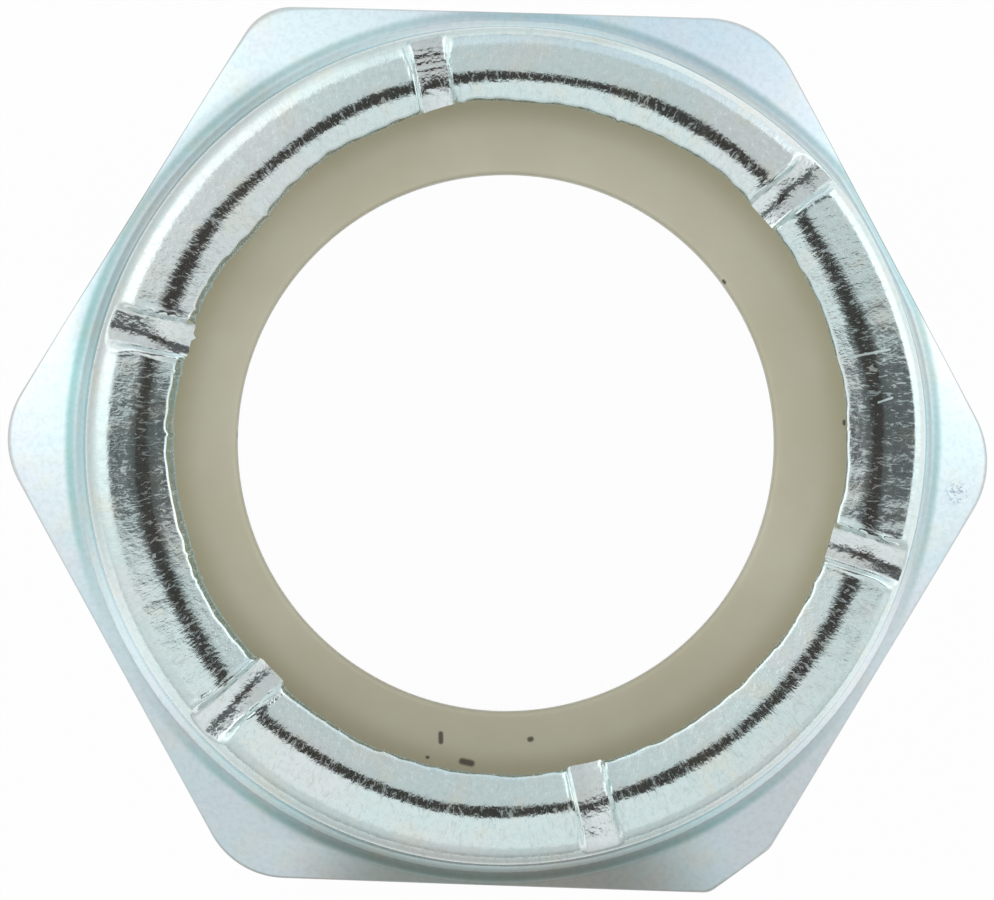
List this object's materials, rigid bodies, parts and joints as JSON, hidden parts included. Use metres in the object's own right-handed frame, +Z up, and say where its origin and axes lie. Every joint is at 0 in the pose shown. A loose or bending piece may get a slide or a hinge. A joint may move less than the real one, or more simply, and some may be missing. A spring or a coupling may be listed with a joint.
{
  "type": "nylon insert lock nut",
  "caption": "Hexagon lock nut with a rolled collar that holds a nylon ring, crimped around its lip.",
  "frame": {"origin": "centre of the bearing face, on the thread's axis", "axes": "+Z up the thread's axis, from the bearing face to the collar; +X to a corner of the hexagon; +Y square to a flat"},
  "size_m": [0.0266, 0.0238, 0.0191],
  "materials": {
    "zinc_plated_steel": "bright blue-white zinc plating, slightly drawn by the forming tools",
    "nylon": "natural nylon, satin"
  },
  "bodies": {
    "root": {"nut_body": "zinc_plated_steel", "nylon_insert": "nylon"}
  },
  "joints": []
}
